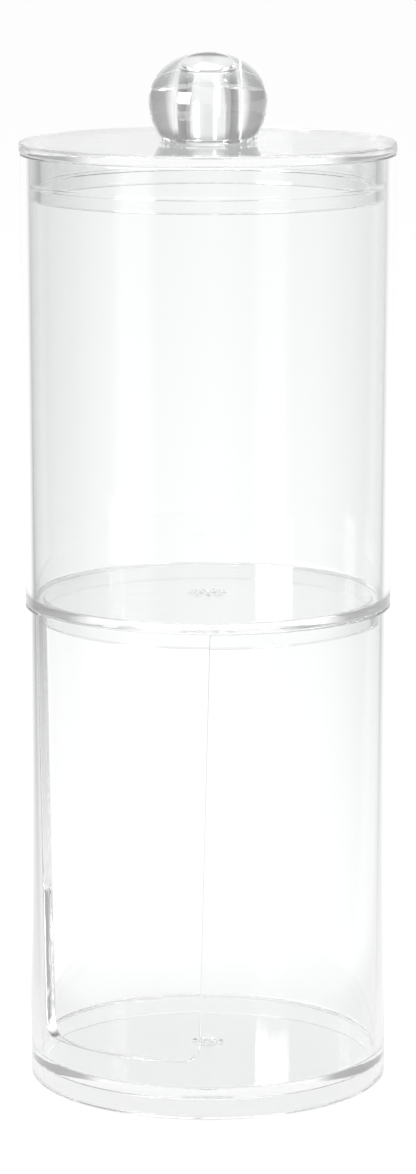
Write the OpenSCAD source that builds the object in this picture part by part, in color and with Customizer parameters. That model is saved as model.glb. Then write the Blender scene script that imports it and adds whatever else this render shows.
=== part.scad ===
// Two-tier cotton swab holder in clear plastic.
// A lidded jar stands on an open-fronted jar. Each upper piece has a ring
// underneath that drops into the mouth of the piece below it.
// Millimetres, +Z up. The origin is on the table, on the jars' common axis.
// The lower jar's window faces -Y.

/* [Walls] */
// Outer diameter where the two jars meet
joint_d = 93; // [85:0.5:110]
// Lean of the jar walls from upright, wider towards the top, in degrees
wall_draft = 0.36; // [0:0.02:0.8]
// Thickness of the jar walls
wall = 2.5; // [2:0.1:3.2]
// Rounding of the moulded outer edges
edge_r = 0.5; // [0.3:0.05:0.8]
// Rounding inside each jar where the wall meets the floor
floor_fillet = 0.5; // [0.4:0.1:2]

/* [Lower jar] */
// Height of the lower jar from the table to its rim
lower_h = 123.6; // [105:0.2:140]
// Height of the foot ring that lifts the floor off the table
foot_h = 5; // [4:0.2:8]
// Thickness of the foot ring
foot_t = 2.5; // [2:0.1:4]
// Thickness of the lower jar's floor
lower_floor_t = 2.6; // [2:0.1:4]

/* [Window] */
// Angle round the wall that the window covers at the rim
window_rim_angle = 67.6; // [50:0.2:90]
// Angle round the wall that the window covers at its sill
window_sill_angle = 60.8; // [44:0.2:80]
// Height of the wall left standing between the floor and the sill
sill_h = 7.4; // [5:0.2:15]
// Radius of the window's two lower corners
window_corner_r = 4.4; // [2:0.2:8]

/* [Upper jar] */
// Height of the upper jar from the joint to its rim
upper_h = 114.4; // [90:0.2:130]
// Thickness of the upper jar's floor
upper_floor_t = 2.4; // [2:0.1:4]
// Depth of the locating ring under the upper jar
locating_h = 4; // [3:0.2:7]
// Thickness of the locating ring
locating_t = 2; // [1.4:0.1:3]
// Clearance all round between the locating ring and the lower jar's mouth
locating_gap = 0.3; // [0.2:0.05:0.6]

/* [Lid] */
// Thickness of the lid's disc
lid_t = 2.7; // [2:0.1:4]
// Overhang of the disc past the upper jar's rim
lid_overhang = 0.2; // [0:0.05:1]
// Rounding of the disc's upper edge
lid_edge_r = 0.7; // [0.3:0.1:1]
// Depth of the skirt that plugs the upper jar's mouth
skirt_h = 11.5; // [8:0.5:18]
// Thickness of the skirt
skirt_t = 2.2; // [1.4:0.1:3]
// Clearance all round between the skirt and the upper jar's mouth
skirt_gap = 0.3; // [0.2:0.05:0.6]
// Drop of the grip bead's centre below the upper jar's rim
bead_drop = 7.7; // [5:0.1:10]
// Height of the grip bead's band
bead_w = 1; // [0.6:0.1:1.6]
// Clearance all round between the grip bead and the upper jar's mouth
bead_gap = 0.12; // [0.08:0.02:0.18]

/* [Knob] */
// Greatest diameter of the knob
knob_d = 29.8; // [24:0.2:40]
// Height of the knob's widest place above the lid
knob_mid_h = 10.2; // [7:0.2:14]
// Height of the dome above the knob's widest place
knob_dome_h = 12; // [9:0.2:16]
// Diameter of the knob's flat base
knob_base_d = 23; // [20:0.2:23.6]
// Diameter of the blind hole that cores out the knob
knob_bore_d = 11; // [7:0.2:14]
// Thickness of plastic left above the blind hole
knob_top_t = 6.8; // [4:0.2:9]
// Height of the lid's peg that centres the knob
peg_h = 2.4; // [1:0.2:5]
// Clearance all round between the peg and the knob's hole
peg_gap = 0.1; // [0.05:0.05:0.3]

/* [Gate marks] */
// Diameter of the ring round each moulding gate
gate_ring_d = 5; // [3:0.5:10]
// Width of that ring
gate_ring_w = 0.6; // [0.4:0.1:1]
// Diameter of the pip left by the gate
gate_pip_d = 1.6; // [1:0.1:2.4]
// How far the ring and the pip stand out under the floor
gate_h = 0.3; // [0.2:0.05:0.6]

/* [Hidden] */

// Facets of every round surface
$fn = 128;
// Steps in each round edge and corner
edge_steps = 6;
// Steps in each curve of the knob's outline
knob_steps = 18;
// Reach of a cutter past the surface that it cuts
cut_past = 2;
// Tint of the clear plastic
clear_tint = [0.93, 0.95, 0.95, 0.45];
// Tint of the knob, which looks darker because it is thick
knob_tint = [0.82, 0.84, 0.84, 0.7];

// Heights of the main levels
lower_floor_z = foot_h + lower_floor_t;
sill_z = lower_floor_z + sill_h;
upper_floor_z = lower_h + upper_floor_t;
locating_z = lower_h - locating_h;
rim_z = lower_h + upper_h;
skirt_z = rim_z - skirt_h;
lid_top_z = rim_z + lid_t;
knob_bore_h = knob_mid_h + knob_dome_h - knob_top_t;

// Radius of the jars' outer surface, one leaning line through both jars
function outer_r(z) = joint_d / 2 + (z - lower_h) * tan(wall_draft);

// Radius of the jars' inner surface
function inner_r(z) = outer_r(z) - wall;

// Points of a round edge from angle a to angle b about a centre
function edge_arc(centre, r, a, b) = [
    for (i = [0:edge_steps])
        let (t = a + (b - a) * i / edge_steps)
        centre + r * [cos(t), sin(t)]
];

// Rounded rim of a jar, from its outer side over to its inner side
function rim_points(z) = concat(
    edge_arc([outer_r(z) - edge_r, z - edge_r], edge_r, 0, 90),
    edge_arc([inner_r(z) + edge_r, z - edge_r], edge_r, 90, 180)
);

// Rounded corner between a jar's wall and floor, then the floor to the axis
function floor_points(z) = concat(
    edge_arc([inner_r(z) - floor_fillet, z + floor_fillet], floor_fillet, 0, -90),
    [[0, z]]
);

// Ring that hangs from z_top to z_end with a gap inside the wall around it.
// The points run from its inner root round its rounded end to its outer root.
function plug_points(z_top, z_end, gap, t) =
    let (r_in = inner_r(z_end) - gap - t, r_end = inner_r(z_end) - gap)
    concat(
        [[r_in, z_top]],
        edge_arc([r_in + edge_r, z_end + edge_r], edge_r, 180, 270),
        edge_arc([r_end - edge_r, z_end + edge_r], edge_r, -90, 0),
        [[inner_r(z_top) - gap, z_top]]
    );

// Ring and pip left on the underside of a floor by the moulding gate
module gate_mark(z) {
    // Sink of the mark into the floor that carries it
    sink = 0.2;
    translate([0, 0, z - gate_h]) {
        cylinder(d = gate_pip_d, h = gate_h + sink);
        difference() {
            cylinder(d = gate_ring_d, h = gate_h + sink);
            translate([0, 0, -sink])
                cylinder(d = gate_ring_d - 2 * gate_ring_w, h = gate_h + 3 * sink);
        }
    }
}

// Window outline on one side, drawn from above its open top down to the sill.
// x is measured round the wall from the mean place of the window's edge.
module window_half_outline(mean_angle, reach) {
    edge_rim_x = outer_r(lower_h) * sin(window_rim_angle / 2 - mean_angle);
    edge_sill_x = outer_r(sill_z) * sin(window_sill_angle / 2 - mean_angle);
    lean = atan((edge_rim_x - edge_sill_x) / (lower_h - sill_z));
    top_z = lower_h + cut_past;
    corner = [
        edge_sill_x - window_corner_r * (1 - sin(lean)) / cos(lean),
        sill_z + window_corner_r
    ];
    polygon(concat(
        edge_arc(corner, window_corner_r, -90, -lean),
        [
            [edge_rim_x + cut_past * tan(lean), top_z],
            [-reach, top_z],
            [-reach, sill_z]
        ]
    ));
}

// Cutter for one side of the window, pushed straight out through the wall
module window_half() {
    mean_angle = (window_rim_angle + window_sill_angle) / 4;
    // Past the middle of the window, so that the two sides overlap there
    reach = outer_r(lower_h) * sin(mean_angle) + cut_past;
    rotate([0, 0, mean_angle])
        rotate([90, 0, 0])
            linear_extrude(height = outer_r(lower_h) + cut_past)
                window_half_outline(mean_angle, reach);
}

// Window through the lower jar's wall, open at the rim
module window_cutter() {
    window_half();
    mirror([1, 0, 0]) window_half();
}

// Lower jar: wall, raised floor and foot ring in one moulding
module lower_jar() {
    foot_in_r = outer_r(0) - foot_t;
    color(clear_tint) {
        difference() {
            rotate_extrude()
                polygon(concat(
                    edge_arc([outer_r(0) - edge_r, edge_r], edge_r, -90, 0),
                    rim_points(lower_h),
                    floor_points(lower_floor_z),
                    [[0, foot_h]],
                    edge_arc([foot_in_r - edge_r, foot_h - edge_r], edge_r, 90, 0),
                    edge_arc([foot_in_r + edge_r, edge_r], edge_r, 180, 270)
                ));
            window_cutter();
        }
        gate_mark(foot_h);
    }
}

// Upper jar: wall, floor and the ring that locates it in the lower jar's mouth
module upper_jar() {
    color(clear_tint) {
        rotate_extrude()
            polygon(concat(
                plug_points(lower_h, locating_z, locating_gap, locating_t),
                edge_arc([outer_r(lower_h) - edge_r, lower_h + edge_r], edge_r, -90, 0),
                rim_points(rim_z),
                floor_points(upper_floor_z),
                [[0, lower_h]]
            ));
        gate_mark(lower_h);
    }
}

// Lid: disc, skirt with its grip bead, and the peg that centres the knob
module lid() {
    disc_r = outer_r(rim_z) + lid_overhang;
    peg_r = knob_bore_d / 2 - peg_gap;
    bead_z = rim_z - bead_drop;
    bead_r = inner_r(bead_z) - bead_gap;
    // Radius in the middle of the skirt's thickness
    bead_root_r = inner_r(bead_z) - skirt_gap - skirt_t / 2;
    color(clear_tint) {
        rotate_extrude()
            polygon(concat(
                [[0, rim_z]],
                plug_points(rim_z, skirt_z, skirt_gap, skirt_t),
                edge_arc([disc_r - edge_r, rim_z + edge_r], edge_r, -90, 0),
                edge_arc([disc_r - lid_edge_r, lid_top_z - lid_edge_r], lid_edge_r, 0, 90),
                [[peg_r, lid_top_z], [peg_r, lid_top_z + peg_h], [0, lid_top_z + peg_h]]
            ));
        rotate_extrude()
            polygon([
                [bead_root_r, bead_z - bead_w],
                [bead_r - skirt_gap + bead_gap, bead_z - bead_w / 2],
                [bead_r, bead_z - bead_w / 4],
                [bead_r, bead_z + bead_w / 4],
                [bead_r - skirt_gap + bead_gap, bead_z + bead_w / 2],
                [bead_root_r, bead_z + bead_w]
            ]);
    }
}

// Knob: a flattened ball with a flat base, cored out by a blind hole
module knob() {
    base_r = knob_base_d / 2;
    r = knob_d / 2;
    // Height that the lower curve would have if it ran on to the axis
    under_h = knob_mid_h / sqrt(1 - pow(base_r / r, 2));
    base_angle = -acos(base_r / r);
    under = [
        for (i = [0:knob_steps])
            let (t = base_angle * (1 - i / knob_steps))
            [r * cos(t), knob_mid_h + under_h * sin(t)]
    ];
    dome = [
        for (i = [1:knob_steps])
            let (t = 90 * i / knob_steps)
            [i == knob_steps ? 0 : r * cos(t), knob_mid_h + knob_dome_h * sin(t)]
    ];
    color(knob_tint)
        translate([0, 0, lid_top_z])
            difference() {
                rotate_extrude()
                    polygon(concat([[0, 0]], under, dome));
                translate([0, 0, -cut_past])
                    cylinder(d = knob_bore_d, h = knob_bore_h + cut_past);
            }
}

lower_jar();
upper_jar();
lid();
knob();
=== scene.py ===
import math
import bpy
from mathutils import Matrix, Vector


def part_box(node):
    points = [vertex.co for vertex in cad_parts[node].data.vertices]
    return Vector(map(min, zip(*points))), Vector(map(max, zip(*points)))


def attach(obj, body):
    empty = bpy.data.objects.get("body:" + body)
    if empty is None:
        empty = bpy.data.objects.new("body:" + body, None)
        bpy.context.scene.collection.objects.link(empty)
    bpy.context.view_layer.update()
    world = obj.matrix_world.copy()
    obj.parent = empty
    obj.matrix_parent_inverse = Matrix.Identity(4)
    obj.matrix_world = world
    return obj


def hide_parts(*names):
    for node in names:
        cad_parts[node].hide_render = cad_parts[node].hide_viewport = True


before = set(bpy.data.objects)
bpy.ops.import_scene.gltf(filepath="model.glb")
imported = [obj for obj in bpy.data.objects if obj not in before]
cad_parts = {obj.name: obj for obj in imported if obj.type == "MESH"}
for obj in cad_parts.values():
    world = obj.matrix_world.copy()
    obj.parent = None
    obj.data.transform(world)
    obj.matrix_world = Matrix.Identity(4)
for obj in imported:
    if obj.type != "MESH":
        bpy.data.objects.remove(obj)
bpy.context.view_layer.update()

# Camera
# It stands where the photograph was taken from: a long lens 1.1 m away, ten degrees above
# level, with the lower jar's window turned to the left.
photo_height_px = 1174
focal_length_px = 4386
view_azimuth = math.radians(33.3)
view_pitch = math.radians(10.51)
view_distance = 1.1185
aim_point = Vector((0.0, 0.0, 0.1271))
away_from_aim = Vector((
    math.sin(view_azimuth) * math.cos(view_pitch),
    -math.cos(view_azimuth) * math.cos(view_pitch),
    math.sin(view_pitch),
))
camera_data = bpy.data.cameras.new("camera")
camera_data.lens = camera_data.sensor_width * focal_length_px / photo_height_px
camera = bpy.data.objects.new("camera", camera_data)
camera.location = aim_point + view_distance * away_from_aim
camera.rotation_mode = "QUATERNION"
camera.rotation_quaternion = (-away_from_aim).to_track_quat("-Z", "Y")
bpy.context.scene.collection.objects.link(camera)
bpy.context.scene.camera = camera

# Lower jar
# One clear polystyrene moulding: a wall that leans outwards by a third of a degree, a raised
# floor, a full-width foot ring, and a window cut through the wall and open at the rim. Every
# edge is rounded as the mould leaves it, and the gate's ring and pip stay under the floor.
lower_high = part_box("lower_jar")[1]
joint_z = lower_high.z
joint_r = lower_high.x
wall_draft = math.radians(0.36)
wall = 0.0025
edge_r = 0.0005
floor_fillet = 0.0005
foot_h = 0.005
foot_t = 0.0025
lower_floor_t = 0.0026
sill_h = 0.0074
sill_z = foot_h + lower_floor_t + sill_h
window_rim_half = math.radians(67.6) / 2
window_sill_half = math.radians(60.8) / 2
window_corner_r = 0.0044
window_edge_r = 0.00035
full_turn = 2 * math.pi


class Moulding:
    """Gathers the points, outward normals and faces of one closed moulded piece."""

    def __init__(self):
        self.points = []
        self.normals = []
        self.faces = []

    def point(self, angle, r, z, round_way, radial_way, up_way):
        """Adds a point by its angle from -Y, its radius and its height, with its normal."""
        out = Vector((math.sin(angle), -math.cos(angle), 0.0))
        along = Vector((math.cos(angle), math.sin(angle), 0.0))
        self.points.append(out * r + Vector((0.0, 0.0, z)))
        normal = along * round_way + out * radial_way + Vector((0.0, 0.0, up_way))
        self.normals.append(normal.normalized())
        return len(self.points) - 1

    def skin(self, rows, closed):
        """Joins rows of points with faces. A row of one point is the middle of a fan."""
        for low, high in zip(rows, rows[1:]):
            count = max(len(low), len(high))
            for j in range(count if closed else count - 1):
                k = (j + 1) % count
                corners = [
                    low[j % len(low)],
                    low[k % len(low)],
                    high[k % len(high)],
                    high[j % len(high)],
                ]
                face = list(dict.fromkeys(corners))
                if len(face) > 2:
                    self.faces.append(face)

    def spin(self, outline, angles, relief=None):
        """Turns a section through all the angles and returns its rows of points."""
        rows = []
        for r, z, radial_way, up_way in outline:
            if r == 0:
                rows.append([self.point(0.0, 0.0, z, 0.0, 0.0, up_way)])
            else:
                rows.append([
                    self.point(a, r, z, 0.0, radial_way, up_way) for a in angles
                ])
        if relief:
            self.emboss(rows, relief)
        self.skin(rows, True)
        return rows

    def emboss(self, rows, relief):
        """Moves points near the axis out by relief(r, angle) and tilts their normals to suit."""
        tiny = 1e-5
        for row in rows:
            up = 1.0 if self.normals[row[0]].z > 0 else -1.0
            for index in row:
                spot = self.points[index]
                r = math.hypot(spot.x, spot.y)
                if r >= gate_reach:
                    continue
                angle = math.atan2(spot.x, -spot.y)
                depth = relief(r, angle)
                out_slope = (relief(r + tiny, angle) - depth) / tiny
                turn = tiny / max(r, tiny)
                round_slope = (relief(r, angle + turn) - depth) / tiny
                out = Vector((math.sin(angle), -math.cos(angle), 0.0))
                along = Vector((math.cos(angle), math.sin(angle), 0.0))
                tilt = Vector((0.0, 0.0, up)) - out * out_slope - along * round_slope
                self.points[index] = spot + Vector((0.0, 0.0, up * depth))
                self.normals[index] = tilt.normalized()

    def finish(self, name, material, body, node):
        """Makes the piece, with smooth faces and the normals of the true surface."""
        mesh = bpy.data.meshes.new(name)
        mesh.from_pydata(self.points, [], self.faces)
        mesh.polygons.foreach_set("use_smooth", [True] * len(mesh.polygons))
        mesh.normals_split_custom_set_from_vertices(self.normals)
        mesh.materials.append(material)
        piece = bpy.data.objects.new(name, mesh)
        bpy.context.scene.collection.objects.link(piece)
        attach(piece, body)
        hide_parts(node)
        return piece


def rounded_section(corners, steps=6):
    """Follows corners (r, z, rounding) anticlockwise and returns (r, z, normal r, normal z)."""
    section = []
    ends = [Vector(c[:2]) for c in corners]
    for i, (r, z, rounding) in enumerate(corners):
        here = ends[i]
        before = (here - ends[i - 1]).normalized() if i else None
        after = (ends[i + 1] - here).normalized() if i + 1 < len(corners) else None
        way = before or after
        if before is None or after is None or rounding == 0:
            section.append((r, z, way.y, -way.x))
            continue
        turn = before.angle_signed(after)
        side = 1 if turn < 0 else -1
        cut_back = rounding * math.tan(abs(turn) / 2)
        start = here - before * cut_back
        centre = start + side * rounding * Vector((-before.y, before.x))
        for k in range(steps + 1):
            bend = -turn * k / steps
            normal = Vector((before.y, -before.x))
            normal = Vector((
                normal.x * math.cos(bend) - normal.y * math.sin(bend),
                normal.x * math.sin(bend) + normal.y * math.cos(bend),
            ))
            spot = centre + side * rounding * normal
            section.append((spot.x, spot.y, normal.x, normal.y))
    return section


def outer_r(z):
    """Radius of the outside of both jars, one leaning line from table to lid."""
    return joint_r + (z - joint_z) * math.tan(wall_draft)


def inner_r(z):
    """Radius of the inside of both jars."""
    return outer_r(z) - wall


def bump_at(x, middle, width):
    """A smooth hump, 1 at its middle."""
    return math.exp(-(((x - middle) / width) ** 2))


gate_fade = 0.0040
gate_reach = 0.0055
gate_h = 0.00028
gate_pip_r = 0.0006
gate_ring_r = 0.0021
gate_ring_width = 0.00028
gate_ring_share = 0.9
gate_stroke_r = 0.0034
gate_stroke_width = 0.0005
gate_mesh_step = 0.0002
gate_rings = [i * gate_mesh_step for i in range(1, 30)]


def gate_window(r):
    """1 over the gate mark, falling smoothly to 0 at its reach."""
    share = min(1.0, max(0.0, (gate_reach - r) / (gate_reach - gate_fade)))
    return share * share * (3 - 2 * share)


def lower_gate(r, angle):
    """Pip and ring of the lower floor's gate, with a stroke on each side."""
    pip = bump_at(r, 0.0, gate_pip_r)
    ring = bump_at(r, gate_ring_r, gate_ring_width) * gate_ring_share
    sides = max(0.0, -math.cos(2 * (angle - view_azimuth))) ** 8
    stroke = bump_at(r, gate_stroke_r, gate_stroke_width) * sides
    return gate_h * gate_window(r) * max(pip, ring, stroke)


def gate_section(z):
    """Underside of a floor from the axis out past the gate mark, in close rings."""
    return [(0.0, z, 0.0, -1.0)] + [(r, z, 0.0, -1.0) for r in gate_rings]


def top_section(z):
    """Top of a floor from past the gate mark in to the axis, in the same rings."""
    return [(r, z, 0.0, 1.0) for r in reversed(gate_rings)] + [(0.0, z, 0.0, 1.0)]


def clear_tree(name, tint, haze):
    """Polished clear plastic: faint flow streaks and hairlines, and it lets lamplight through."""
    material = bpy.data.materials.new(name)
    material.use_nodes = True
    tree = material.node_tree
    tree.nodes.clear()

    def node(kind, settings=(), **sockets):
        made = tree.nodes.new("ShaderNode" + kind)
        for key, value in dict(settings).items():
            setattr(made, key, value)
        for key, value in sockets.items():
            socket = made.inputs[key.replace("_", " ")]
            if isinstance(value, bpy.types.NodeSocket):
                tree.links.new(value, socket)
            else:
                socket.default_value = value
        return made

    place = node("TexCoord").outputs["Object"]
    flow_place = node("Mapping", Vector=place, Scale=(150.0, 150.0, 14.0))
    flow = node("TexNoise", Vector=flow_place.outputs[0], Scale=1.0, Detail=2.0, Roughness=0.45)
    hair_place = node("Mapping", Vector=place, Scale=(900.0, 700.0, 2600.0))
    hair = node("TexNoise", Vector=hair_place.outputs[0], Scale=1.0, Detail=3.0, Roughness=0.6)
    flow_bump = node("Bump", Height=flow.outputs[0], Strength=0.35, Distance=0.00002)
    hair_bump = node(
        "Bump",
        Height=hair.outputs[0],
        Normal=flow_bump.outputs[0],
        Strength=0.2,
        Distance=0.000002,
    )
    cloud = node("TexNoise", Vector=place, Scale=38.0, Detail=4.0, Roughness=0.6)
    gloss = node(
        "MapRange",
        Value=cloud.outputs[0],
        From_Min=0.35,
        From_Max=0.75,
        To_Min=0.0,
        To_Max=haze,
    )
    plastic = node("BsdfPrincipled", Roughness=gloss.outputs[0], Normal=hair_bump.outputs[0])
    plastic.inputs["Base Color"].default_value = tint
    plastic.inputs["IOR"].default_value = 1.57
    plastic.inputs["Transmission Weight"].default_value = 1.0
    lamp_way = node("BsdfTransparent", Color=(0.95, 0.95, 0.95, 1.0))
    rays = node("LightPath").outputs
    lit = node("Math", {"operation": "MAXIMUM"})
    tree.links.new(rays["Is Shadow Ray"], lit.inputs[0])
    tree.links.new(rays["Is Diffuse Ray"], lit.inputs[1])
    mixed = node("MixShader", Fac=lit.outputs[0])
    tree.links.new(plastic.outputs[0], mixed.inputs[1])
    tree.links.new(lamp_way.outputs[0], mixed.inputs[2])
    out = node("OutputMaterial", Surface=mixed.outputs[0])
    return material


clear_plastic = clear_tree("clear_plastic", (0.985, 0.992, 0.99, 1.0), 0.03)

# Window outline, flattened onto the wall: x runs round the wall, z up
window_r = outer_r((sill_z + joint_z) / 2)
window_lean = math.atan((window_rim_half - window_sill_half) * window_r / (joint_z - sill_z))
corner_x = window_sill_half * window_r - window_corner_r * (
    (1 - math.sin(window_lean)) / math.cos(window_lean)
)
corner_z = sill_z + window_corner_r
corner_steps = 14
side_steps = 24
sill_steps = 80
back_steps = 400
round_steps = 6


def window_side(offset):
    """Points (x, z, normal x, normal z) up one side of the window, set back into the wall."""
    radius = window_corner_r + offset
    side = []
    for k in range(corner_steps + 1):
        swing = (math.pi / 2 - window_lean) * k / corner_steps
        side.append((
            corner_x + radius * math.sin(swing),
            corner_z - radius * math.cos(swing),
            -math.sin(swing),
            math.cos(swing),
        ))
    foot_x, foot_z, way_x, way_z = side[-1]
    rise = joint_z - edge_r - foot_z
    for k in range(1, side_steps + 1):
        up = rise * k / side_steps
        side.append((foot_x + up * math.tan(window_lean), foot_z + up, way_x, way_z))
    return side


def window_edge(offset):
    """The whole window edge, from the left rim down, along the sill and up to the right rim."""
    right = window_side(offset)
    left = [(-x, z, -way_x, way_z) for x, z, way_x, way_z in reversed(right)]
    sill = [
        (corner_x * (2 * k / sill_steps - 1), sill_z - offset, 0.0, 1.0)
        for k in range(1, sill_steps)
    ]
    return left + sill + right


lower_jar = Moulding()
below_sill_z = sill_z - window_edge_r
corner_angle = corner_x / window_r
sill_angles = [corner_angle * (2 * k / sill_steps - 1) for k in range(sill_steps)]
back_angles = [
    corner_angle + (full_turn - 2 * corner_angle) * k / back_steps
    for k in range(back_steps)
]
foot_in_r = outer_r(0.0) - foot_t
under_corners = [
    (gate_rings[-1], foot_h, 0.0),
    (foot_in_r, foot_h, edge_r),
    (foot_in_r, 0.0, edge_r),
    (outer_r(0.0), 0.0, edge_r),
    (outer_r(below_sill_z), below_sill_z, 0.0),
]
inside_corners = [
    (inner_r(below_sill_z), below_sill_z, 0.0),
    (inner_r(foot_h + lower_floor_t), foot_h + lower_floor_t, floor_fillet),
    (gate_rings[-1], foot_h + lower_floor_t, 0.0),
]
all_angles = sill_angles + back_angles
outside_rows = lower_jar.spin(
    gate_section(foot_h)[:-1] + rounded_section(under_corners), all_angles, lower_gate
)
inside_rows = lower_jar.spin(
    rounded_section(inside_corners)[:-1] + top_section(foot_h + lower_floor_t),
    all_angles, lower_gate,
)

# Wall round the back, from the sill's level up, over the rim and down the inside
lean_out = math.cos(wall_draft)
lean_down = math.sin(wall_draft)


def back_row(face, step):
    """One row of the wall's outside (face 1) or inside (face -1), clear of the window."""
    x, z, way_x, way_z = window_side(window_edge_r)[step]
    start = x / window_r
    r = outer_r(z) if face > 0 else inner_r(z)
    return [
        lower_jar.point(
            start + (full_turn - 2 * start) * k / back_steps,
            r, z, 0.0, face * lean_out, -face * lean_down,
        )
        for k in range(back_steps + 1)
    ]


def back_part(row):
    """The part of a full ring that lies behind the window's corners, both ends included."""
    return row[sill_steps:] + row[:1]


rim_start = window_side(window_edge_r)[-1][0] / window_r
rim_section = rounded_section([
    (outer_r(joint_z - edge_r), joint_z - edge_r, 0.0),
    (outer_r(joint_z), joint_z, edge_r),
    (inner_r(joint_z), joint_z, edge_r),
    (inner_r(joint_z - edge_r), joint_z - edge_r, 0.0),
], round_steps)
step_count = corner_steps + side_steps
outside_wall = [back_part(outside_rows[-1])]
outside_wall += [back_row(1, i) for i in range(1, step_count + 1)]
inside_wall = [back_part(inside_rows[0])]
inside_wall += [back_row(-1, i) for i in range(1, step_count + 1)]
rim_rows = [
    [
        lower_jar.point(
            rim_start + (full_turn - 2 * rim_start) * k / back_steps,
            r, z, 0.0, radial_way, up_way,
        )
        for k in range(back_steps + 1)
    ]
    for r, z, radial_way, up_way in rim_section[2:-2]
]
lower_jar.skin(outside_wall + rim_rows + inside_wall[::-1], False)

# Rounded edge of the window, from the wall's outside through its thickness to its inside
sill_part = slice(1, sill_steps)
first_loop = (
    [row[-1] for row in outside_wall[::-1]]
    + outside_rows[-1][sill_part]
    + [row[0] for row in outside_wall]
)
last_loop = (
    [row[-1] for row in inside_wall[::-1]]
    + inside_rows[0][sill_part]
    + [row[0] for row in inside_wall]
)
edge_loops = [first_loop]
for face in (1, -1):
    turns = range(1, round_steps + 1) if face > 0 else range(round_steps, 0, -1)
    for k in turns:
        bend = math.pi / 2 * k / round_steps
        set_back = window_edge_r * (1 - math.sin(bend))
        inset = window_edge_r * (1 - math.cos(bend))
        loop = []
        for x, z, way_x, way_z in window_edge(set_back):
            r = outer_r(z) - inset if face > 0 else inner_r(z) + inset
            loop.append(lower_jar.point(
                x / window_r, r, z,
                way_x * math.sin(bend), face * math.cos(bend), way_z * math.sin(bend),
            ))
        edge_loops.append(loop)
edge_loops.append(last_loop)
lower_jar.skin(edge_loops, False)

# Corners where the window's edge meets the rim
rim_path_right = [outside_wall[-1][0]] + [row[0] for row in rim_rows] + [inside_wall[-1][0]]
rim_path_left = [outside_wall[-1][-1]] + [row[-1] for row in rim_rows] + [inside_wall[-1][-1]]
lower_jar.skin([rim_path_right, [loop[-1] for loop in edge_loops]], False)
lower_jar.skin([[loop[0] for loop in edge_loops], rim_path_left], False)
lower_jar.finish("lower_jar_clear", clear_plastic, "lower_tier", "lower_jar")

# Upper jar
# One clear polystyrene moulding of the same wall and lean, with a flat floor. Under the floor
# a ring 4 mm deep drops into the lower jar's mouth and keeps the two in line. It only rests
# there, so a hair of air shows as a line all round the joint.
upper_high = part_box("upper_jar")[1]
rim_z = upper_high.z
air_line = 0.00003
upper_floor_t = 0.0024
locating_h = 0.004
locating_t = 0.002
locating_gap = 0.0003
root_r = 0.0002
upper_floor_z = joint_z + upper_floor_t
shoulder_z = joint_z + air_line
locating_z = joint_z - locating_h
round_mesh_steps = 480
even_angles = [full_turn * k / round_mesh_steps for k in range(round_mesh_steps)]
stroke_middle_r = 0.0030
stroke_reach = 0.0016
stroke_count = 9


def upper_gate(r, angle):
    """Pip and short strokes that spread from the upper floor's gate."""
    pip = bump_at(r, 0.0, gate_pip_r)
    reach = bump_at(r, stroke_middle_r, stroke_reach)
    spread = max(0.0, math.cos(stroke_count * (angle - view_azimuth))) ** 3
    return gate_h * gate_window(r) * max(pip, reach * spread)


def hanging_ring(top_z, end_z, gap, thickness, inner_root):
    """Corners of a ring that hangs inside a jar's mouth, from inner root to outer root."""
    end_r = inner_r(end_z) - gap
    return [
        (end_r - thickness, top_z, inner_root),
        (end_r - thickness, end_z, edge_r),
        (end_r, end_z, edge_r),
        (inner_r(top_z) - gap, top_z, root_r),
    ]


upper_jar = Moulding()
upper_corners = (
    [(gate_rings[-1], shoulder_z, 0.0)]
    + hanging_ring(shoulder_z, locating_z, locating_gap, locating_t, root_r)
    + [
        (outer_r(joint_z), shoulder_z, edge_r),
        (outer_r(rim_z), rim_z, edge_r),
        (inner_r(rim_z), rim_z, edge_r),
        (inner_r(upper_floor_z), upper_floor_z, floor_fillet),
        (gate_rings[-1], upper_floor_z, 0.0),
    ]
)
upper_jar.spin(
    gate_section(shoulder_z)[:-1]
    + rounded_section(upper_corners)[:-1]
    + top_section(upper_floor_z),
    even_angles, upper_gate,
)
upper_jar.finish("upper_jar_clear", clear_plastic, "upper_tier", "upper_jar")

# Lid
# One clear polystyrene moulding: a flat disc, a skirt that plugs the upper jar's mouth with a
# fine grip bead round it, and a short peg on top that centres the knob. It rests on the rim.
lid_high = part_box("lid")[1]
peg_h = 0.0024
lid_top_z = lid_high.z - peg_h
lid_edge_r = 0.0007
skirt_h = 0.0115
skirt_t = 0.0022
skirt_gap = 0.0003
skirt_root_r = 0.0008
bead_below_rim = 0.0077
bead_z = rim_z - bead_below_rim
bead_half = 0.0005
bead_out = 0.00018
bead_edge_r = 0.0001
peg_r = 0.0054
disc_r = lid_high.x
seat_z = rim_z + air_line
lid = Moulding()
skirt = hanging_ring(seat_z, rim_z - skirt_h, skirt_gap, skirt_t, skirt_root_r)
skirt_side = [
    (inner_r(bead_z - bead_half) - skirt_gap, bead_z - bead_half, bead_edge_r),
    (inner_r(bead_z) - skirt_gap + bead_out, bead_z - bead_half / 2, bead_edge_r),
    (inner_r(bead_z) - skirt_gap + bead_out, bead_z + bead_half / 2, bead_edge_r),
    (inner_r(bead_z + bead_half) - skirt_gap, bead_z + bead_half, bead_edge_r),
]
lid_corners = (
    [(0.0, seat_z, 0.0)]
    + skirt[:3]
    + skirt_side
    + skirt[3:]
    + [
        (disc_r, seat_z, edge_r),
        (disc_r, lid_top_z, lid_edge_r),
        (peg_r, lid_top_z, root_r),
        (peg_r, lid_high.z, root_r),
        (0.0, lid_high.z, 0.0),
    ]
)
lid.spin(rounded_section(lid_corners), even_angles)
lid.finish("lid_clear", clear_plastic, "lid_and_knob", "lid")

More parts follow.
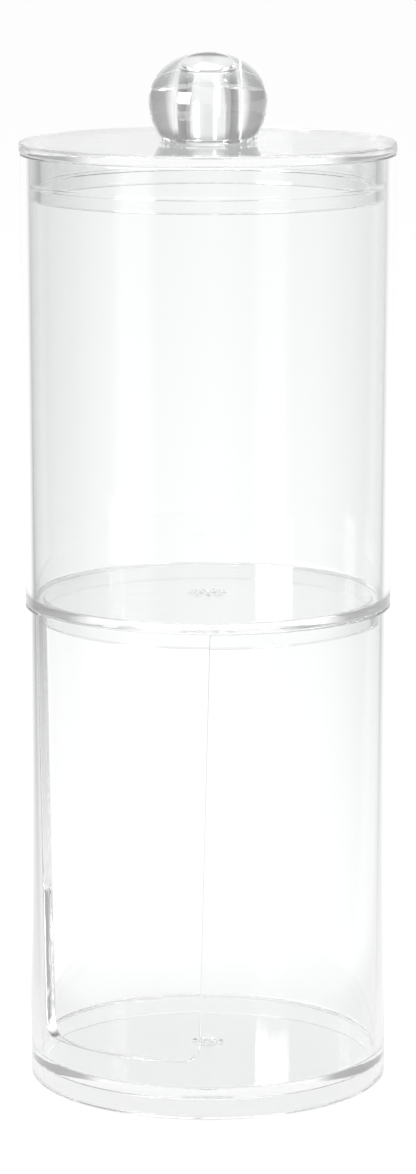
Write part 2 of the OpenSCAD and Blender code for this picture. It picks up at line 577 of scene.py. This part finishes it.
# Knob
# One thick clear moulding: a flattened ball with a flat base and a fine parting line, cored
# out from below by a blind hole that sits over the lid's peg. It is glued at its base.
knob_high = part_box("knob")[1]
knob_r = knob_high.x
knob_mid_h = 0.0102
knob_mid_z = lid_top_z + knob_mid_h
knob_base_r = 0.0115
knob_base_z = lid_top_z + air_line
knob_hole_r = 0.0055
knob_crown_t = 0.0068
knob_hole_top_z = knob_high.z - knob_crown_t
knob_hole_round = 0.0006
parting_h = 0.013
parting_z = lid_top_z + parting_h
parting_out = 0.00001
parting_width = 0.0002
dome_h = knob_high.z - knob_mid_z
under_h = (knob_mid_z - lid_top_z) / math.sqrt(1 - (knob_base_r / knob_r) ** 2)
glue_h = 0.0012
glue_r = 0.0119
glue_bulge = 0.0001
glue_ripple = 0.00008
glue_shares = [i / 10 for i in range(1, 10)]
glue_turn = -math.asin((knob_mid_h - glue_h) / under_h)
curve_steps = 150
small_turn = 1e-4


def knob_curve(t):
    """Point on the knob's outside at turn t, with the parting line standing out a hair."""
    height = dome_h if t > 0 else under_h
    z = knob_mid_z + height * math.sin(t)
    return Vector((knob_r * math.cos(t) + parting_out * bump_at(z, parting_z, parting_width), z))


def glue_wave(angle):
    """Unevenness of the glue round the base."""
    return math.sin(7 * angle) + 0.6 * math.sin(17 * angle + 1) + 0.5 * math.sin(31 * angle + 2)


knob = Moulding()
curve_turns = [
    glue_turn + (math.pi / 2 - glue_turn) * k / curve_steps for k in range(curve_steps)
]
glue_top_r = knob_curve(glue_turn).x
glue_section = [
    (
        glue_r + (glue_top_r - glue_r) * share + glue_bulge * math.sin(math.pi * share),
        knob_base_z + (glue_h - air_line) * share,
        glue_h,
        glue_r - glue_top_r - glue_bulge * math.pi * math.cos(math.pi * share),
    )
    for share in glue_shares
]
curve_section = []
for t in curve_turns:
    way = (knob_curve(t + small_turn) - knob_curve(t - small_turn)).normalized()
    spot = knob_curve(t)
    curve_section.append((spot.x, spot.y, way.y, -way.x))
base_corners = [
    (0.0, knob_hole_top_z, 0.0),
    (knob_hole_r, knob_hole_top_z, knob_hole_round),
    (knob_hole_r, knob_base_z, root_r),
    (glue_r, knob_base_z, glue_bulge),
    (glue_section[0][0], glue_section[0][1], 0.0),
]
base_section = rounded_section(base_corners)[:-1]
knob_rows = knob.spin(
    base_section + glue_section + curve_section + [(0.0, knob_high.z, 0.0, 1.0)], even_angles
)
for share, row in zip(glue_shares, knob_rows[len(base_section):]):
    for angle, index in zip(even_angles, row):
        out = Vector((math.sin(angle), -math.cos(angle), 0.0))
        along = Vector((math.cos(angle), math.sin(angle), 0.0))
        height = glue_ripple * math.sin(math.pi * share)
        climb = (glue_wave(angle + small_turn) - glue_wave(angle)) / small_turn
        slope = height * climb / glue_r
        knob.points[index] += out * height * glue_wave(angle)
        knob.normals[index] = (knob.normals[index] - along * slope).normalized()
clear_knob = clear_tree("clear_knob", (0.97, 0.975, 0.975, 1.0), 0.012)
knob.finish("knob_clear", clear_knob, "lid_and_knob", "knob")

# Studio
# White paper under and behind the object, and a white ceiling. Straight to the camera the paper
# is plain white, but as the plastic reflects it or shows it through, it carries painted shade:
# darker sectors by bearing, and a painted shadow under the object. The walls to each side are
# grey, which draws the clear edges dark. Glowing cards at the front left and high on the right
# stand for windows and a lamp, and only the clear plastic sees them.
forward = Vector((-math.sin(view_azimuth), math.cos(view_azimuth), 0.0))
rightward = Vector((math.cos(view_azimuth), math.sin(view_azimuth), 0.0))
upward = Vector((0.0, 0.0, 1.0))
floor_half = 9.0
floor_drop = 0.0001
floor_glow_share = 0.5
paper_white = 0.96
fill_level = 1.0
# Painted shade: the paper as the plastic's reflections see it, darker by bearing to the left and
# behind, in place of the lamps falling off there.
mirrored_painted_floor_shade = [
    (-180, 0.90),
    (-150, 0.72),
    (-120, 0.45),
    (-60, 0.40),
    (-42, 0.50),
    (-34, 1.0),
    (180, 1.0),
]
# Painted shade: the paper as seen through the plastic, darker in sectors to both sides, which draws
# the clear edges dark.
through_painted_floor_shade = [
    (-180, 0.90),
    (-120, 0.50),
    (-75, 0.26),
    (-38, 0.42),
    (-28, 1.0),
    (28, 1.0),
    (38, 0.45),
    (75, 0.28),
    (95, 0.70),
    (110, 0.95),
    (180, 0.90),
]
wall_levels = [
    (-180, 0.85),
    (-125, 0.55),
    (-78, 0.30),
    (-60, 0.34),
    (-37, 0.45),
    (-29, 1.0),
    (29, 1.0),
    (37, 0.47),
    (60, 0.36),
    (78, 0.30),
    (95, 0.80),
    (180, 0.85),
]
upper_wall_level = 0.32
panel_level = 0.88
panel_half_width = (0.05, 0.16)
backdrop_top = (0.32, 0.46)
ceiling_edge = (0.80, 0.90)
shaded_paper = 0.90
shaded_reach = (0.05, 0.12)
open_paper = 1.0
near_share = 0.35
near_reach = (0.10, 0.60)


def studio_node(tree, kind, *sources, **settings):
    """Adds a node, feeds its first inputs in order from sockets or values."""
    made = tree.nodes.new("ShaderNode" + kind)
    for key, value in settings.items():
        setattr(made, key, value)
    for socket, source in zip(made.inputs, sources):
        if isinstance(source, bpy.types.NodeSocket):
            tree.links.new(source, socket)
        elif source is not None:
            socket.default_value = source
    return made


def along(tree, way, direction):
    """How far a place or a ray goes along a direction."""
    made = studio_node(tree, "VectorMath", way, direction, operation="DOT_PRODUCT")
    return made.outputs["Value"]


def level_by_bearing(tree, way, levels):
    """Brightness by bearing, in degrees right of the line from the camera past the object."""
    low = levels[0][0]
    high = levels[-1][0]
    across = along(tree, way, rightward)
    ahead = along(tree, way, forward)
    bearing = studio_node(tree, "Math", across, ahead, operation="ARCTAN2")
    degrees = studio_node(tree, "Math", bearing.outputs[0], operation="DEGREES")
    share = studio_node(tree, "MapRange", degrees.outputs[0], low, high)
    ramp = studio_node(tree, "ValToRGB", share.outputs[0])
    stops = ramp.color_ramp.elements
    for i, (place, level) in enumerate(levels):
        spot = (place - low) / (high - low)
        stop = stops[i] if i < 2 else stops.new(spot)
        stop.position = spot
        stop.color = (level, level, level, 1.0)
    return ramp.outputs[0]


floor_mesh = bpy.data.meshes.new("floor")
square_corners = [(-1, -1), (1, -1), (1, 1), (-1, 1)]
floor_mesh.from_pydata(
    [(x * floor_half, y * floor_half, -floor_drop) for x, y in square_corners],
    [],
    [(0, 1, 2, 3)],
)
floor = bpy.data.objects.new("floor", floor_mesh)
bpy.context.scene.collection.objects.link(floor)
paper = bpy.data.materials.new("paper")
paper.use_nodes = True
sheet = paper.node_tree
sheet.nodes.clear()
sheet_place = studio_node(sheet, "TexCoord").outputs["Object"]
sheet_rays = studio_node(sheet, "LightPath").outputs
# The paper's painted shade by bearing: the reflected levels for reflections, the through levels for
# transmission rays.
painted_sheet_shade = studio_node(
    sheet,
    "Mix",
    sheet_rays["Is Transmission Ray"],
    None,
    level_by_bearing(sheet, sheet_place, mirrored_painted_floor_shade),
    level_by_bearing(sheet, sheet_place, through_painted_floor_shade),
).outputs[0]
spread = studio_node(sheet, "VectorMath", sheet_place, operation="LENGTH").outputs["Value"]
# Close to the object the painted shade by bearing is partly lifted toward white. It comes in fully
# farther out.
far_share = studio_node(sheet, "MapRange", spread, *near_reach, near_share, 1.0)
# Under the object, the paper seen in reflections and through the plastic drops to shaded_paper.
# This is a painted shadow.
outside_painted_shadow = studio_node(sheet, "MapRange", spread, *shaded_reach, 0.0, 1.0)
open_level = studio_node(sheet, "Mix", far_share.outputs[0], None, open_paper, painted_sheet_shade)
near = studio_node(
    sheet, "Mix", outside_painted_shadow.outputs[0], None, shaded_paper, open_level.outputs[0]
)
# Straight from the camera the paper is plain white. Only reflections and views through the plastic
# see the painted shade and shadow.
straight = studio_node(
    sheet, "Math", sheet_rays["Is Camera Ray"], near.outputs[0], operation="MAXIMUM"
)
sheet_glow = studio_node(sheet, "Emission", None, straight.outputs[0])
sheet_tone = studio_node(sheet, "Math", straight.outputs[0], paper_white, operation="MULTIPLY")
sheet_matt = studio_node(sheet, "BsdfDiffuse", sheet_tone.outputs[0])
sheet_mix = studio_node(
    sheet, "MixShader", floor_glow_share, sheet_matt.outputs[0], sheet_glow.outputs[0]
)
studio_node(sheet, "OutputMaterial", sheet_mix.outputs[0])
floor_mesh.materials.append(paper)

world = bpy.data.worlds.new("studio")
bpy.context.scene.world = world
world.use_nodes = True
world.cycles.sampling_method = "NONE"
sky = world.node_tree
sky.nodes.clear()
sky_way = studio_node(sky, "TexCoord").outputs["Generated"]
rise = along(sky, sky_way, upward)
off_centre = studio_node(sky, "Math", along(sky, sky_way, rightward), operation="ABSOLUTE")
panel = studio_node(
    sky, "MapRange", off_centre.outputs[0], *panel_half_width, panel_level, 1.0
)
backdrop = studio_node(
    sky,
    "Math",
    level_by_bearing(sky, sky_way, wall_levels),
    panel.outputs[0],
    operation="MULTIPLY",
)
above_backdrop = studio_node(sky, "MapRange", rise, *backdrop_top, 0.0, 1.0)
sides = studio_node(
    sky,
    "Mix",
    above_backdrop.outputs[0],
    None,
    backdrop.outputs[0],
    upper_wall_level,
).outputs[0]
ceiling = studio_node(sky, "MapRange", rise, *ceiling_edge, 0.0, 1.0)
sky_rays = studio_node(sky, "LightPath").outputs
white = studio_node(
    sky, "Math", ceiling.outputs[0], sky_rays["Is Camera Ray"], operation="MAXIMUM"
)
seen_level = studio_node(sky, "Math", white.outputs[0], sides, operation="MAXIMUM")
level = studio_node(sky, "Mix", sky_rays["Is Diffuse Ray"], None, seen_level.outputs[0], fill_level)
sky_light = studio_node(sky, "Background", (1.0, 1.0, 1.0, 1.0), level.outputs[0])
studio_node(sky, "OutputWorld", sky_light.outputs[0])


def lit_card(name, bearing, climb, distance, width, height, brightness, firm):
    """A glowing card that only clear plastic sees. Past its firm share it fades to clear."""
    bearing = math.radians(bearing)
    climb = math.radians(climb)
    toward_camera = rightward * math.sin(bearing) - forward * math.cos(bearing)
    away = toward_camera * math.cos(climb) + upward * math.sin(climb)
    mesh = bpy.data.meshes.new(name)
    mesh.from_pydata([(x, y, 0.0) for x, y in square_corners], [], [(0, 1, 2, 3)])
    card = bpy.data.objects.new(name, mesh)
    card.location = upward * knob_mid_z + away * distance
    card.rotation_mode = "QUATERNION"
    card.rotation_quaternion = (-away).to_track_quat("-Z", "Y")
    card.scale = (width / 2, height / 2, 1.0)
    bpy.context.scene.collection.objects.link(card)
    glow = bpy.data.materials.new(name)
    glow.use_nodes = True
    glow.cycles.emission_sampling = "NONE"
    tree = glow.node_tree
    tree.nodes.clear()
    spot = studio_node(tree, "TexCoord").outputs["Object"]
    parts = studio_node(tree, "SeparateXYZ", spot).outputs
    fade = 1.0
    for part in parts[:2]:
        reach = studio_node(tree, "Math", part, operation="ABSOLUTE").outputs[0]
        soft = studio_node(
            tree, "MapRange", reach, firm, 1.0, 1.0, 0.0, interpolation_type="SMOOTHSTEP"
        )
        fade = studio_node(tree, "Math", soft.outputs[0], fade, operation="MULTIPLY").outputs[0]
    light = studio_node(tree, "Emission", None, brightness).outputs[0]
    clear = studio_node(tree, "BsdfTransparent").outputs[0]
    edged = studio_node(tree, "MixShader", fade, clear, light).outputs[0]
    studio_node(tree, "OutputMaterial", edged)
    mesh.materials.append(glow)
    card.visible_camera = False
    card.visible_diffuse = False
    card.visible_shadow = False


lit_card(
    "left_window", bearing=-45, climb=-4, distance=0.60,
    width=0.34, height=0.66, brightness=1.15, firm=0.4,
)
lit_card(
    "high_window", bearing=-48, climb=12, distance=0.54,
    width=0.27, height=0.34, brightness=22.0, firm=0.85,
)
lit_card(
    "small_lamp", bearing=56, climb=57, distance=0.90,
    width=0.10, height=0.12, brightness=14.0, firm=0.4,
)

ceiling_box = bpy.data.lights.new("ceiling_box", "AREA")
ceiling_box.size = 1.2
ceiling_box.energy = 6.0
ceiling_lamp = bpy.data.objects.new("ceiling_box", ceiling_box)
ceiling_lamp.location = (0.0, 0.0, 1.6)
ceiling_lamp.visible_camera = False
bpy.context.scene.collection.objects.link(ceiling_lamp)

scene = bpy.context.scene
scene.view_settings.view_transform = "Standard"
scene.cycles.max_bounces = 128
scene.cycles.transmission_bounces = 128
scene.cycles.glossy_bounces = 128
scene.cycles.transparent_max_bounces = 64
scene.cycles.caustics_reflective = False
scene.cycles.caustics_refractive = True
